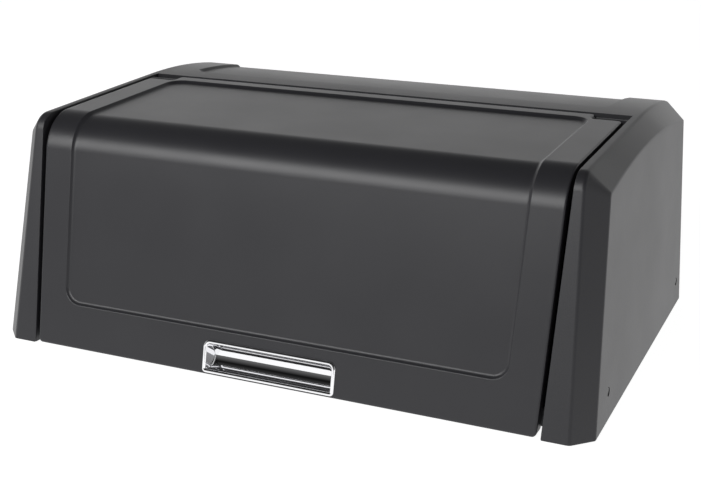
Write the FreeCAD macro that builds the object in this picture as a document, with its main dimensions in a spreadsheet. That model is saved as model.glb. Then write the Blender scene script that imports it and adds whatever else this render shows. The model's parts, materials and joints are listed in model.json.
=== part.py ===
import FreeCAD, Part
import Sketcher
import math
import os

# A bread box with a swing-up lid. Millimetres. X runs along the box, -Y is its front, +Z is up.
# Every piece is drawn with z = 0 at the shell's bottom rim; its Placement lifts it onto the feet,
# so that z = 0 of the finished box is the table.

SIZES = [
    # name, value, what it is
    ("box_width", 420, "outside width at the bottom rim"),
    ("box_depth", 265, "outside depth at the bottom rim"),
    ("box_height", 156, "from the rim to the top's highest point"),
    ("wall", 2.5, "shell wall"),
    ("side_lean", 3.09, "degrees that the side faces lean in"),
    ("front_lean", 12.4, "degrees that the front leans back"),
    ("ridge_inset", 12.6, "from a side face to the ridge beside it"),
    ("corner_cut", 12.7, "depth of the slanted front corner"),
    ("fold_drop", 3.2, "from the highest point down to where front plane and top would meet"),
    ("ridge_round", 13, "radius of the cheek's fold"),
    ("peak_inset", 87.5, "from the back to the top's highest point"),
    ("rear_drop", 6.8, "from the highest point down to the top of the back wall"),
    ("deck_round", 448, "radius of the rear deck"),
    ("side_fold_behind", 10.9, "side face's top front corner, behind the fold"),
    ("side_fold_drop", 16.5, "that corner, below the highest point"),
    ("side_mid_inset", 72.5, "a point on the side face's top arc, behind the front"),
    ("side_mid_drop", 13, "that point, below the highest point"),
    ("side_peak_drop", 10.1, "side face's top beside the highest point, below it"),
    ("side_rear_drop", 20.2, "side face's top at the back, below the highest point"),
    ("side_round", 680, "radius of the side face's top arc"),
    ("side_corner_round", 8, "radius of the side face's top front corner"),
    ("cheek_width", 29.9, "from a side face to the opening's edge, at the rim"),
    ("opening_flare", 1.37, "degrees that the cheeks' inner edges spread"),
    ("deck_depth", 89, "from the back to the deck's front edge"),
    ("deck_rib_depth", 2.5, "thickness of the rib under the deck's front edge"),
    ("deck_rib_tall", 14, "from the highest point down to that rib's lower edge"),
    ("hollow_border", 30.1, "from the cheek's edge to the deck's sunk field"),
    ("hollow_depth", 56.5, "from the back to the front of the deck's sunk field"),
    ("hollow_sink", 1.9, "how far that field lies below the deck"),
    ("hinge_reach", 9.5, "from the deck's front edge forward to the hinge line"),
    ("knuckle_radius", 4.7, "radius of the shell's knuckles"),
    ("knuckle_cover", 1.1, "from the highest point down to the top of a knuckle"),
    ("knuckle_play", 0.8, "from a bush's flange to the knuckle beside it"),
    ("knuckle_gap", 1.5, "from a knuckle to the liner beside it"),
    ("pin_radius", 2, "hinge pin"),
    ("pin_play", 0.05, "radial play of the pin in its bores"),
    ("pin_recess", 1, "from a barrel's inner end to the end of its pin"),
    ("bush_radius", 3.2, "outside of the hinge bush"),
    ("bush_flange", 1.2, "thickness of the bush's flange"),
    ("barrel_radius", 4.9, "outside of the lid's barrels"),
    ("barrel_length", 20, "length of a barrel"),
    ("lid_side_gap", 2.7, "gap between lid and cheek at the rim"),
    ("lid_flare", 1.26, "degrees that the lid's sides spread"),
    ("lid_bottom", 0.7, "height of the lid's lower edge"),
    ("lid_rear_gap", 3, "gap between the lid's rear edge and the deck"),
    ("lid_rear_drop", 0.3, "lid's rear edge, below the highest point"),
    ("lid_skin", 2.7, "thickness of the lid"),
    ("lid_flange", 9, "depth of the lid's turned-in edges"),
    ("flange_wall", 2.5, "thickness of those edges"),
    ("fold_round", 28, "radius of the lid's fold"),
    ("notch_width", 17.4, "from the lid's side edge to the inner end of a hinge notch"),
    ("notch_play", 0.9, "from a knuckle to the front edge of its notch"),
    ("field_border", 20.2, "lid's border at the sides of its sunk field"),
    ("field_bottom", 29.5, "lower edge of the sunk field"),
    ("field_rear_border", 9.9, "lid's border behind the sunk field"),
    ("field_sink", 1.8, "depth of the sunk field"),
    ("field_round", 8, "radius of the sunk field's corners"),
    ("cup_margin", 1.45, "from the lid's lower edge up to the handle's rim"),
    ("cup_half", 47.2, "half width of the handle's rim"),
    ("cup_half_tall", 10.75, "half height of the handle's rim"),
    ("cup_top_round", 5, "radius of the rim's upper corners"),
    ("cup_low_round", 2.2, "radius of the rim's lower corners"),
    ("cup_rim", 2.6, "width of the rim"),
    ("cup_rim_thick", 1, "how far the rim stands on the lid"),
    ("cup_depth", 7.5, "depth of the finger hollow behind the lid's face"),
    ("cup_flat", 1, "half height of the flat at the back of that hollow"),
    ("cup_wall", 0.9, "wall of the cup"),
    ("cup_play", 0.3, "gap round the cup in the lid's cut-out"),
    ("post_inset", 22.2, "from the end of the handle's rim to a post on the cup's back"),
    ("post_radius", 3, "those posts"),
    ("post_tall", 1.6, "how far they stand behind the cup"),
    ("strap_thick", 1.2, "sheet of the clamping strap"),
    ("strap_half_tall", 5, "half height of the strap"),
    ("strap_foot", 9, "length of each of its feet"),
    ("tray_bottom", 1.5, "underside of the tray"),
    ("tray_floor", 2.5, "thickness of its floor"),
    ("tray_wall", 2.2, "thickness of its walls"),
    ("tray_side_height", 26, "top of its side walls"),
    ("tray_lip_height", 12, "top of its front and rear lips"),
    ("tray_play", 0.4, "gap between tray and shell"),
    ("tray_front_gap", 1.2, "tray's front wall behind the shell's slanted corners"),
    ("lip_end_gap", 1, "from a liner to the end of a lowered lip"),
    ("liner_thick", 2, "thickness of the side liners"),
    ("liner_play", 0.4, "gap between liner and shell"),
    ("boss_radius", 4, "bosses for screws"),
    ("side_screw_front", 42.1, "front side screw, behind the front"),
    ("side_screw_rear", 15.5, "rear side screw, in front of the back"),
    ("side_screw_height", 18.6, "height of the side screws"),
    ("side_sink_radius", 2.9, "sink in the side face for a side screw's head"),
    ("side_sink_depth", 1.4, "depth of that sink"),
    ("side_boss_length", 7, "tray bosses for the side screws"),
    ("liner_screw_front", 72.5, "front liner screw, behind the front"),
    ("liner_screw_rear", 32.5, "rear liner screw, in front of the back"),
    ("liner_screw_low", 60, "height of those two"),
    ("liner_screw_middle", 20, "upper liner screw, behind the middle"),
    ("liner_screw_drop", 36, "upper liner screw, below the highest point"),
    ("screw_radius", 1.25, "shank of the small screws"),
    ("screw_play", 0.1, "radial play of a shank in its hole"),
    ("screw_head_radius", 2.3, "head of a side screw"),
    ("screw_head_tall", 1.1, "thickness of a side screw's head"),
    ("liner_screw_head", 3, "radius of a liner screw's head"),
    ("liner_screw_tall", 1.6, "thickness of its head"),
    ("screw_length", 9, "length of the small screws"),
    ("foot_stand", 1.5, "how far the feet lift the rim"),
    ("foot_radius", 9, "foot pad where it meets the tray"),
    ("foot_toe_radius", 8, "foot pad at the table"),
    ("foot_stem", 3, "stem of a foot"),
    ("foot_stem_play", 0.1, "radial play of the stem in the tray"),
    ("foot_knob_radius", 4.2, "knob that holds the stem above the tray"),
    ("foot_knob_tall", 1.3, "height of that knob"),
    ("foot_side_inset", 16, "from a side face to a foot's middle"),
    ("foot_front_inset", 37.5, "from the front to a front foot's middle"),
    ("foot_rear_inset", 20.5, "from the back to a rear foot's middle"),
    ("stop_inset", 27.4, "from the lid's side edge to a lid stop"),
    ("stop_height", 7.5, "height of the lid stops"),
    ("stop_radius", 3.5, "lid stop"),
    ("stop_stem", 2, "stem of a lid stop"),
    ("stop_play", 0.3, "gap between a stop and the closed lid"),
    ("vent_width", 3, "vent slot in the back wall"),
    ("vent_tall", 22, "height of a vent slot"),
    ("vent_drop", 34, "from the highest point down to the top of the vent slots"),
    ("vent_pitch", 14, "from one vent slot to the next"),
]

VENT_COUNT = 9
SIDES = [(-1, "left"), (1, "right")]
PAST = 5  # how far a cut runs past the piece it cuts
BITE = 1  # how far a rib or web reaches into the wall that it grows from


# ---------------------------------------------------------------- sizes that stay bound to the sheet

class Size:
    """A number together with the sheet expression that keeps it up to date."""

    def __init__(self, value, text):
        self.value = value
        self.text = text

    def __add__(self, other):
        other = as_size(other)
        return Size(self.value + other.value, f"({self.text} + {other.text})")

    def __radd__(self, other):
        return as_size(other) + self

    def __sub__(self, other):
        other = as_size(other)
        return Size(self.value - other.value, f"({self.text} - {other.text})")

    def __rsub__(self, other):
        return as_size(other) - self

    def __mul__(self, other):
        other = as_size(other)
        return Size(self.value * other.value, f"({self.text} * {other.text})")

    def __rmul__(self, other):
        return as_size(other) * self

    def __truediv__(self, other):
        other = as_size(other)
        return Size(self.value / other.value, f"({self.text} / {other.text})")

    def __rtruediv__(self, other):
        return as_size(other) / self

    def __neg__(self):
        return as_size(-1) * self


def as_size(number):
    """A plain number as a Size; a Size is returned as it is."""
    if isinstance(number, Size):
        return number
    return Size(float(number), f"({number})")


def tangent(angle):
    """Tangent of an angle in degrees."""
    angle = as_size(angle)
    return Size(math.tan(math.radians(angle.value)), f"tan({angle.text})")


def cosine(angle):
    """Cosine of an angle in degrees."""
    angle = as_size(angle)
    return Size(math.cos(math.radians(angle.value)), f"cos({angle.text})")


def root(size):
    """Square root of a size."""
    return Size(math.sqrt(size.value), f"sqrt({size.text})")


class SizeSheet:
    """The document's sheet of driving sizes, read as sizes.box_width and so on."""

    def __init__(self, document, rows):
        self._sheet = document.addObject("Spreadsheet::Sheet", "Sizes")
        for row, (name, value, meaning) in enumerate(rows, start=1):
            self._sheet.set(f"A{row}", name)
            self._sheet.set(f"B{row}", str(value))
            self._sheet.set(f"C{row}", meaning)
            self._sheet.setAlias(f"B{row}", name)
        document.recompute()

    def __getattr__(self, name):
        return Size(float(self._sheet.get(name)), f"Sizes.{name}")


doc = FreeCAD.newDocument("BreadBox")
sizes = SizeSheet(doc, SIZES)


# ---------------------------------------------------------------- drawing helpers

class Corner:
    """A corner of an outline. fillet rounds it; bulge makes the edge after it an arc."""

    def __init__(self, across, up, fillet=None, bulge=None):
        self.across = as_size(across)
        self.up = as_size(up)
        self.fillet = fillet
        self.bulge = bulge

    def point(self):
        return FreeCAD.Vector(self.across.value, self.up.value, 0)


def bind(sketch, constraint, size, name):
    """Adds a dimension to a sketch and ties it to the sheet."""
    index = sketch.addConstraint(constraint)
    sketch.renameConstraint(index, name)
    sketch.setExpression(f"Constraints.{name}", size.text)


def corner_arc(before, here, after, radius):
    """Start, end and centre of the arc that rounds a corner, and whether it turns left."""
    arriving = (here - before).normalize()
    leaving = (after - here).normalize()
    turn = math.atan2(arriving.x * leaving.y - arriving.y * leaving.x, arriving.dot(leaving))
    setback = radius * math.tan(abs(turn) / 2)
    start = here - arriving * setback
    end = here + leaving * setback
    side = 1 if turn > 0 else -1
    centre = start + FreeCAD.Vector(-arriving.y, arriving.x, 0) * (side * radius)
    return start, end, centre, turn > 0


def arc_about(centre, start, end, radius):
    """The anticlockwise arc from start to end about a centre."""
    circle = Part.Circle(centre, FreeCAD.Vector(0, 0, 1), radius)
    from_angle = math.atan2(start.y - centre.y, start.x - centre.x)
    to_angle = math.atan2(end.y - centre.y, end.x - centre.x)
    if to_angle < from_angle:
        to_angle += 2 * math.pi
    return Part.ArcOfCircle(circle, from_angle, to_angle)


def bulging_edge(start, end, radius):
    """An arc from start to end that stands out to the right of that direction."""
    middle = (start + end) * 0.5
    half = (end - start).Length / 2
    left = FreeCAD.Vector(start.y - end.y, end.x - start.x, 0).normalize()
    centre = middle + left * math.sqrt(radius * radius - half * half)
    return arc_about(centre, start, end, radius)


def draw_outline(sketch, corners):
    """Closed outline through the corners, listed anticlockwise, fully dimensioned."""
    count = len(corners)
    points = [corner.point() for corner in corners]
    rounds = {}
    for index, corner in enumerate(corners):
        if corner.fillet is not None:
            after = points[(index + 1) % count]
            rounds[index] = corner_arc(points[index - 1], points[index], after, corner.fillet.value)
    edges = []
    for index, corner in enumerate(corners):
        following = (index + 1) % count
        start = rounds[index][1] if index in rounds else points[index]
        end = rounds[following][0] if following in rounds else points[following]
        if corner.bulge is None:
            edges.append(sketch.addGeometry(Part.LineSegment(start, end), False))
        else:
            edges.append(sketch.addGeometry(bulging_edge(start, end, corner.bulge.value), False))
    for index, corner in enumerate(corners):
        arriving, leaving = edges[index - 1], edges[index]
        if index in rounds:
            start, end, centre, turns_left = rounds[index]
            mark = sketch.addGeometry(Part.Point(points[index]), True)
            if turns_left:
                arc = sketch.addGeometry(arc_about(centre, start, end, corner.fillet.value), False)
                first, last = 1, 2
            else:
                arc = sketch.addGeometry(arc_about(centre, end, start, corner.fillet.value), False)
                first, last = 2, 1
            sketch.addConstraint(Sketcher.Constraint("PointOnObject", mark, 1, arriving))
            sketch.addConstraint(Sketcher.Constraint("PointOnObject", mark, 1, leaving))
            sketch.addConstraint(Sketcher.Constraint("Tangent", arriving, 2, arc, first))
            sketch.addConstraint(Sketcher.Constraint("Tangent", arc, last, leaving, 1))
            radius = Sketcher.Constraint("Radius", arc, corner.fillet.value)
            bind(sketch, radius, corner.fillet, f"round{index}")
            holder = mark
        else:
            sketch.addConstraint(Sketcher.Constraint("Coincident", arriving, 2, leaving, 1))
            holder = leaving
        across, up = corner.across, corner.up
        bind(sketch, Sketcher.Constraint("DistanceX", holder, 1, across.value), across, f"across{index}")
        bind(sketch, Sketcher.Constraint("DistanceY", holder, 1, up.value), up, f"up{index}")
        if corner.bulge is not None:
            radius = Sketcher.Constraint("Radius", leaving, corner.bulge.value)
            bind(sketch, radius, corner.bulge, f"bulge{index}")


def draw_circle(sketch, across, up, radius):
    """A circle, fully dimensioned."""
    across, up, radius = as_size(across), as_size(up), as_size(radius)
    centre = FreeCAD.Vector(across.value, up.value, 0)
    circle = sketch.addGeometry(Part.Circle(centre, FreeCAD.Vector(0, 0, 1), radius.value), False)
    bind(sketch, Sketcher.Constraint("Radius", circle, radius.value), radius, f"radius{circle}")
    bind(sketch, Sketcher.Constraint("DistanceX", circle, 3, across.value), across, f"across{circle}")
    bind(sketch, Sketcher.Constraint("DistanceY", circle, 3, up.value), up, f"up{circle}")


def rectangle(left, bottom, right, top):
    """Corners of an upright rectangle."""
    return [Corner(left, bottom), Corner(right, bottom), Corner(right, top), Corner(left, top)]


def new_sketch(body, name, plane, offset=0):
    """A sketch on one of the body's own origin planes, moved along the plane's normal."""
    sketch = body.newObject("Sketcher::SketchObject", name)
    support = [feature for feature in body.Origin.OriginFeatures if feature.Role == plane][0]
    sketch.AttachmentSupport = (support, [""])
    sketch.MapMode = "FlatFace"
    offset = as_size(offset)
    sketch.AttachmentOffset = FreeCAD.Placement(FreeCAD.Vector(0, 0, offset.value), FreeCAD.Rotation())
    sketch.setExpression("AttachmentOffset.Base.z", offset.text)
    return sketch


def new_body(label):
    """A body that is lifted onto the feet."""
    body = doc.addObject("PartDesign::Body", label)
    body.Label = label
    lift(body)
    return body


def lift(piece):
    """Puts a piece drawn from the rim at its height above the table."""
    piece.Placement = FreeCAD.Placement(FreeCAD.Vector(0, 0, sizes.foot_stand.value), FreeCAD.Rotation())
    piece.setExpression("Placement.Base.z", sizes.foot_stand.text)


def extrude(body, kind, name, sketch, length=None, both_ways=False, backwards=False):
    """Pad or Pocket of a sketch: by a length, or through everything when length is None."""
    volume = body.Shape.Volume if body.Shape.Solids else 0
    feature = body.newObject(f"PartDesign::{kind}", name)
    feature.Profile = sketch
    if length is None:
        feature.Type = "ThroughAll"
    else:
        length = as_size(length)
        feature.Length = length.value
        feature.setExpression("Length", length.text)
    feature.SideType = "Symmetric" if both_ways else "One side"
    feature.Reversed = backwards
    doc.recompute()
    changed = body.Shape.Volume - volume
    if (kind == "Pad" and changed <= 0) or (kind == "Pocket" and changed >= 0):
        raise ValueError(f"{body.Label}: {name} leaves the solid as it was")
    return feature


def pad(body, name, sketch, length, **ways):
    return extrude(body, "Pad", name, sketch, length, **ways)


def pocket(body, name, sketch, length=None, **ways):
    return extrude(body, "Pocket", name, sketch, length, **ways)


class Station:
    """An outline across the box at x. tilt is +1 or -1 as it leans to +X or -X going up."""

    def __init__(self, across, tilt, lean, corners):
        self.across = as_size(across)
        self.tilt = tilt
        self.lean = as_size(lean)
        self.corners = corners


def loft(body, kind, name, stations):
    """Ruled loft through leaning outlines, in order along X."""
    volume = body.Shape.Volume if body.Shape.Solids else 0
    sections = []
    for number, station in enumerate(stations):
        sketch = new_sketch(body, f"{name}Section{number}", "YZ_Plane", station.across)
        turn = FreeCAD.Rotation(FreeCAD.Vector(station.tilt, 0, 0), station.lean.value)
        sketch.AttachmentOffset = FreeCAD.Placement(FreeCAD.Vector(0, 0, station.across.value), turn)
        sketch.setExpression("AttachmentOffset.Rotation.Angle", station.lean.text)
        stretch = cosine(station.lean)
        slanted = [Corner(c.across, c.up / stretch, c.fillet, c.bulge) for c in station.corners]
        draw_outline(sketch, slanted)
        sections.append(sketch)
    feature = body.newObject(f"PartDesign::{kind}Loft", name)
    feature.Profile = sections[0]
    feature.Sections = sections[1:]
    feature.Ruled = True
    doc.recompute()
    changed = body.Shape.Volume - volume
    if (kind == "Additive" and changed <= 0) or (kind == "Subtractive" and changed >= 0):
        raise ValueError(f"{body.Label}: {name} leaves the solid as it was")
    return feature


def mirrored_stations(reach, tilt, lean, corners):
    """The same outline at -reach and +reach; tilt is +1 where the pair spreads going up."""
    return [Station(-as_size(reach), -tilt, lean, corners), Station(reach, tilt, lean, corners)]


# ---------------------------------------------------------------- lines that the pieces share

half_width = sizes.box_width / 2
half_depth = sizes.box_depth / 2
front_slope = tangent(sizes.front_lean)
front_slant = cosine(sizes.front_lean)
side_slope = tangent(sizes.side_lean)
opening_slope = tangent(sizes.opening_flare)
lid_side_slope = tangent(sizes.lid_flare)
BROAD = 22.5  # half of the turn from a side face to the slanted corner, in degrees

# heights above the rim
peak_height = sizes.box_height
fold_height = peak_height - sizes.fold_drop
rear_height = peak_height - sizes.rear_drop
side_fold_height = peak_height - sizes.side_fold_drop
side_rear_height = peak_height - sizes.side_rear_drop
hinge_height = peak_height - sizes.knuckle_cover - sizes.knuckle_radius
lid_rear_height = peak_height - sizes.lid_rear_drop
deck_rib_bottom = peak_height - sizes.deck_rib_tall
cup_height = sizes.lid_bottom + sizes.cup_margin + sizes.cup_half_tall * front_slant

# places behind the middle
fold_back = -half_depth + front_slope * fold_height
side_fold_back = fold_back + sizes.side_fold_behind
peak_back = half_depth - sizes.peak_inset
deck_front = half_depth - sizes.deck_depth
hollow_front = half_depth - sizes.hollow_depth
hinge_back = deck_front - sizes.hinge_reach
lid_rear = deck_front - sizes.lid_rear_gap
notch_front = hinge_back - sizes.knuckle_radius - sizes.notch_play
side_screw_places = [
    ("Front", -half_depth + sizes.side_screw_front),
    ("Rear", half_depth - sizes.side_screw_rear),
]

foot_places = [
    ("front", -half_depth + sizes.foot_front_inset),
    ("rear", half_depth - sizes.foot_rear_inset),
]

# places across, from the middle
opening_half = half_width - sizes.cheek_width
hollow_half = opening_half - sizes.hollow_border
lid_half = opening_half - sizes.lid_side_gap
notch_start = lid_half - sizes.notch_width
barrel_start = notch_start - sizes.barrel_length
knuckle_start = notch_start + sizes.bush_flange + sizes.knuckle_play
foot_across = half_width - sizes.foot_side_inset
stop_across = lid_half - sizes.stop_inset
post_across = sizes.cup_half - sizes.post_inset

# liner screws: behind the middle, height
liner_screw_places = [
    (-half_depth + sizes.liner_screw_front, sizes.liner_screw_low),
    (half_depth - sizes.liner_screw_rear, sizes.liner_screw_low),
    (sizes.liner_screw_middle, peak_height - sizes.liner_screw_drop),
]


def front_plane(height, inward=0):
    """Y of the front face at a height, moved in by a thickness measured square to it."""
    return -half_depth + front_slope * height + as_size(inward) / front_slant


def side_plane(height, inward=0):
    """X of the right side face at a height."""
    return half_width - inward - side_slope * height


def opening_edge(height):
    """X of the right cheek's inner edge at a height."""
    return opening_half + opening_slope * height


def facet_line(height):
    """Y of the slanted corner's outer edge at a height: a straight line up to the side face's corner."""
    foot = -half_depth + sizes.corner_cut
    return foot + (side_fold_back - foot) / side_fold_height * height


def deck_surface(back):
    """Height of the deck's arc at a place behind the middle."""
    run = half_depth - peak_back
    chord = root(run * run + sizes.rear_drop * sizes.rear_drop)
    reach = root(sizes.deck_round * sizes.deck_round - chord * chord / 4)
    centre_back = (half_depth + peak_back) / 2 - reach * sizes.rear_drop / chord
    centre_height = (peak_height + rear_height) / 2 - reach * run / chord
    across = as_size(back) - centre_back
    return centre_height + root(sizes.deck_round * sizes.deck_round - across * across)


# ---------------------------------------------------------------- shell

def ridge_outline(inset, bottom):
    """Outline of the box in the plane of a ridge, moved in by inset."""
    top_front = fold_height - inset
    top_peak = peak_height - inset
    fold_y = front_plane(top_front, inset)
    run = (top_peak - top_front) / (peak_back - fold_y)
    middle_y = -half_depth + sizes.side_mid_inset
    return [
        Corner(front_plane(bottom, inset), bottom),
        Corner(half_depth - inset, bottom),
        Corner(half_depth - inset, rear_height - inset, bulge=sizes.deck_round),
        Corner(peak_back, top_peak),
        Corner(middle_y, top_front + run * (middle_y - fold_y)),
        Corner(fold_y, top_front, fillet=sizes.ridge_round - inset),
    ]


def side_outline(inset, bottom):
    """Outline of the box in the plane of a side face, moved in by inset."""
    mitre = inset * tangent(BROAD)
    fold_round = sizes.side_corner_round - inset
    return [
        Corner(facet_line(bottom) + mitre, bottom),
        Corner(half_depth - inset, bottom),
        Corner(half_depth - inset, side_rear_height - mitre, bulge=sizes.side_round),
        Corner(peak_back, peak_height - sizes.side_peak_drop - mitre, bulge=sizes.side_round),
        Corner(-half_depth + sizes.side_mid_inset, peak_height - sizes.side_mid_drop - mitre),
        Corner(side_fold_back + mitre, side_fold_height - mitre, fillet=fold_round),
    ]


def shell_stations(inset, bottom):
    """The four outlines of the box: side face, ridge, ridge, side face."""
    inset = as_size(inset)
    ridge_x = half_width - sizes.ridge_inset - inset * tangent(BROAD)
    side_x = half_width - inset
    lean = sizes.side_lean
    return [
        Station(-side_x, 1, lean, side_outline(inset, bottom)),
        Station(-ridge_x, 1, lean, ridge_outline(inset, bottom)),
        Station(ridge_x, -1, lean, ridge_outline(inset, bottom)),
        Station(side_x, -1, lean, side_outline(inset, bottom)),
    ]


def make_shell():
    body = new_body("housing_shell")
    loft(body, "Additive", "Outside", shell_stations(0, 0))
    loft(body, "Subtractive", "Inside", shell_stations(sizes.wall, as_size(-PAST)))
    cut_lid_opening(body)
    sink_deck_field(body)
    add_deck_rib(body)
    for side, _ in SIDES:
        add_knuckle(body, side)
        add_liner_bosses(body, side)
    bore_knuckles(body)
    drill_side_holes(body)
    cut_vents(body)
    return body


def cut_lid_opening(body):
    """The front and the top between the cheeks, back to the deck."""
    top = peak_height + PAST
    sketch = new_sketch(body, "OpeningSketch", "XZ_Plane", -deck_front)
    draw_outline(sketch, [
        Corner(-opening_edge(-PAST), -PAST),
        Corner(opening_edge(-PAST), -PAST),
        Corner(opening_edge(top), top),
        Corner(-opening_edge(top), top),
    ])
    pocket(body, "Opening", sketch, backwards=True)


def sink_deck_field(body):
    """Cuts the deck open where its field is, then lays the sunk floor in."""
    cut_low = deck_surface(hollow_front) - sizes.hollow_sink - sizes.wall
    window = new_sketch(body, "DeckWindowSketch", "YZ_Plane")
    draw_outline(window, [
        Corner(hollow_front, cut_low),
        Corner(half_depth + PAST, rear_height - sizes.hollow_sink - sizes.wall),
        Corner(half_depth + PAST, peak_height),
        Corner(hollow_front, peak_height),
    ])
    pocket(body, "DeckWindow", window, hollow_half * 2, both_ways=True)
    floor_front = hollow_front - sizes.wall
    floor_top = deck_surface(floor_front) - sizes.hollow_sink
    floor = new_sketch(body, "DeckFloorSketch", "YZ_Plane")
    draw_outline(floor, [
        Corner(floor_front, floor_top - sizes.wall),
        Corner(half_depth, rear_height - sizes.hollow_sink - sizes.wall),
        Corner(half_depth, rear_height - sizes.hollow_sink, bulge=sizes.deck_round),
        Corner(floor_front, floor_top),
    ])
    pad(body, "DeckFloor", floor, (hollow_half + sizes.wall) * 2, both_ways=True)


def add_deck_rib(body):
    """The rib that stiffens the deck's front edge and carries the knuckles."""
    sketch = new_sketch(body, "DeckRibSketch", "XZ_Plane", -deck_front)
    edge = opening_edge(deck_rib_bottom) + BITE
    draw_outline(sketch, rectangle(-edge, deck_rib_bottom, edge, peak_height - sizes.wall / 2))
    pad(body, "DeckRib", sketch, sizes.deck_rib_depth, backwards=True)


def knuckle_end():
    """Outer end of a knuckle, from the middle."""
    return opening_edge(hinge_height) - sizes.knuckle_gap


def add_knuckle(body, side):
    """A round knuckle on the hinge line, with a web back to the deck rib."""
    name = "Knuckle" if side > 0 else "LeftKnuckle"
    length = knuckle_end() - knuckle_start
    web = new_sketch(body, f"{name}WebSketch", "YZ_Plane", side * knuckle_start)
    low = hinge_height - sizes.knuckle_radius
    draw_outline(web, rectangle(hinge_back, low, deck_front + BITE, hinge_height))
    pad(body, f"{name}Web", web, length, backwards=side < 0)
    round_part = new_sketch(body, f"{name}Sketch", "YZ_Plane", side * knuckle_start)
    draw_circle(round_part, hinge_back, hinge_height, sizes.knuckle_radius)
    pad(body, name, round_part, length, backwards=side < 0)


def bore_knuckles(body):
    sketch = new_sketch(body, "HingeBoreSketch", "YZ_Plane")
    draw_circle(sketch, hinge_back, hinge_height, sizes.pin_radius + sizes.pin_play)
    pocket(body, "HingeBore", sketch, knuckle_end() * 2 + PAST, both_ways=True)


def liner_face(height, outer=False):
    """X of the right liner's inner or outer face at a height."""
    face = opening_edge(height)
    return face + sizes.liner_thick if outer else face


def add_liner_bosses(body, side):
    """Bosses that stand in from the side wall to the liner."""
    for number, (back, height) in enumerate(liner_screw_places):
        name = f"LinerBoss{number}" if side > 0 else f"LeftLinerBoss{number}"
        start = liner_face(height, outer=True) + sizes.liner_play
        reach = side_plane(height, sizes.wall / 2) - start
        boss = new_sketch(body, f"{name}Sketch", "YZ_Plane", side * start)
        draw_circle(boss, back, height, sizes.boss_radius)
        pad(body, name, boss, reach, backwards=side < 0)
        pilot = new_sketch(body, f"{name}PilotSketch", "YZ_Plane", side * start)
        draw_circle(pilot, back, height, sizes.screw_radius + sizes.screw_play)
        pocket(body, f"{name}Pilot", pilot, sizes.screw_length, backwards=side > 0)


def side_screw_seat():
    """X of the right side screws' seat, at the bottom of their sinks."""
    return side_plane(sizes.side_screw_height, sizes.side_sink_depth)


def drill_side_holes(body):
    """Holes for the side screws through both side walls, with sinks for their heads."""
    holes = new_sketch(body, "SideHolesSketch", "YZ_Plane")
    for _, back in side_screw_places:
        draw_circle(holes, back, sizes.side_screw_height, sizes.screw_radius + sizes.screw_play)
    pocket(body, "SideHoles", holes, sizes.box_width + PAST, both_ways=True)
    for side, label in SIDES:
        sinks = new_sketch(body, f"{label}SinkSketch", "YZ_Plane", side * side_screw_seat())
        for _, back in side_screw_places:
            draw_circle(sinks, back, sizes.side_screw_height, sizes.side_sink_radius)
        pocket(body, f"{label}Sinks", sinks, PAST, backwards=side > 0)


def cut_vents(body):
    """A row of upright vent slots in the back wall."""
    first = -sizes.vent_pitch * (VENT_COUNT - 1) / 2
    sketch = new_sketch(body, "VentSketch", "XZ_Plane", -half_depth - PAST)
    half = sizes.vent_width / 2
    top = peak_height - sizes.vent_drop
    draw_outline(sketch, rectangle(first - half, top - sizes.vent_tall, first + half, top))
    slot = pocket(body, "Vent", sketch, sizes.wall + PAST * 2, backwards=True)
    row = body.newObject("PartDesign::LinearPattern", "Vents")
    row.Originals = [slot]
    row.Direction = (sketch, ["H_Axis"])
    row.Length = sizes.vent_pitch.value * (VENT_COUNT - 1)
    row.setExpression("Length", (sizes.vent_pitch * (VENT_COUNT - 1)).text)
    row.Occurrences = VENT_COUNT
    body.Tip = row
    doc.recompute()


# ---------------------------------------------------------------- side liners

def liner_outline():
    """Outline of a liner: it fills the side of the box and steps over the tray's lips."""
    inset = sizes.wall + sizes.liner_play
    floor = sizes.tray_bottom + sizes.tray_floor
    lip = sizes.tray_lip_height + sizes.liner_play
    front_lip = tray_front(sizes.tray_lip_height) + sizes.tray_wall + sizes.liner_play
    rear_lip = tray_rear() - sizes.tray_wall - sizes.liner_play
    top_front = fold_height - inset
    return [
        Corner(front_plane(lip, inset), lip),
        Corner(front_lip, lip),
        Corner(front_lip, floor),
        Corner(rear_lip, floor),
        Corner(rear_lip, lip),
        Corner(half_depth - inset, lip),
        Corner(half_depth - inset, rear_height - inset, bulge=sizes.deck_round),
        Corner(peak_back, peak_height - inset),
        Corner(front_plane(top_front, inset), top_front, fillet=sizes.ridge_round - inset),
    ]


def make_liner(side, label):
    body = new_body(f"{label}_side_liner")
    stations = [
        Station(side * opening_half, side, sizes.opening_flare, liner_outline()),
        Station(side * (opening_half + sizes.liner_thick), side, sizes.opening_flare, liner_outline()),
    ]
    loft(body, "Additive", "Panel", stations)
    sketch = new_sketch(body, "HolesSketch", "YZ_Plane")
    for back, height in liner_screw_places:
        draw_circle(sketch, back, height, sizes.screw_radius + sizes.screw_play)
    pocket(body, "Holes", sketch, sizes.box_width, backwards=side > 0)
    notch_liner_for_deck(body, side)
    return body


def notch_liner_for_deck(body, side):
    """Room for the end of the deck rib."""
    sketch = new_sketch(body, "RibNotchSketch", "YZ_Plane")
    low = deck_rib_bottom - sizes.liner_play
    front = deck_front - sizes.liner_play
    back = deck_front + sizes.deck_rib_depth + sizes.liner_play
    draw_outline(sketch, rectangle(front, low, back, peak_height))
    pocket(body, "RibNotch", sketch, sizes.box_width, backwards=side > 0)


# ---------------------------------------------------------------- tray

def tray_front(height):
    """Y of the tray's front wall at a height: parallel to the shell's slanted corner."""
    mitre = sizes.wall * tangent(BROAD)
    return facet_line(height) + mitre + sizes.tray_front_gap


def tray_rear():
    """Y of the outside of the tray's rear wall."""
    return half_depth - sizes.wall - sizes.tray_play


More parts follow.
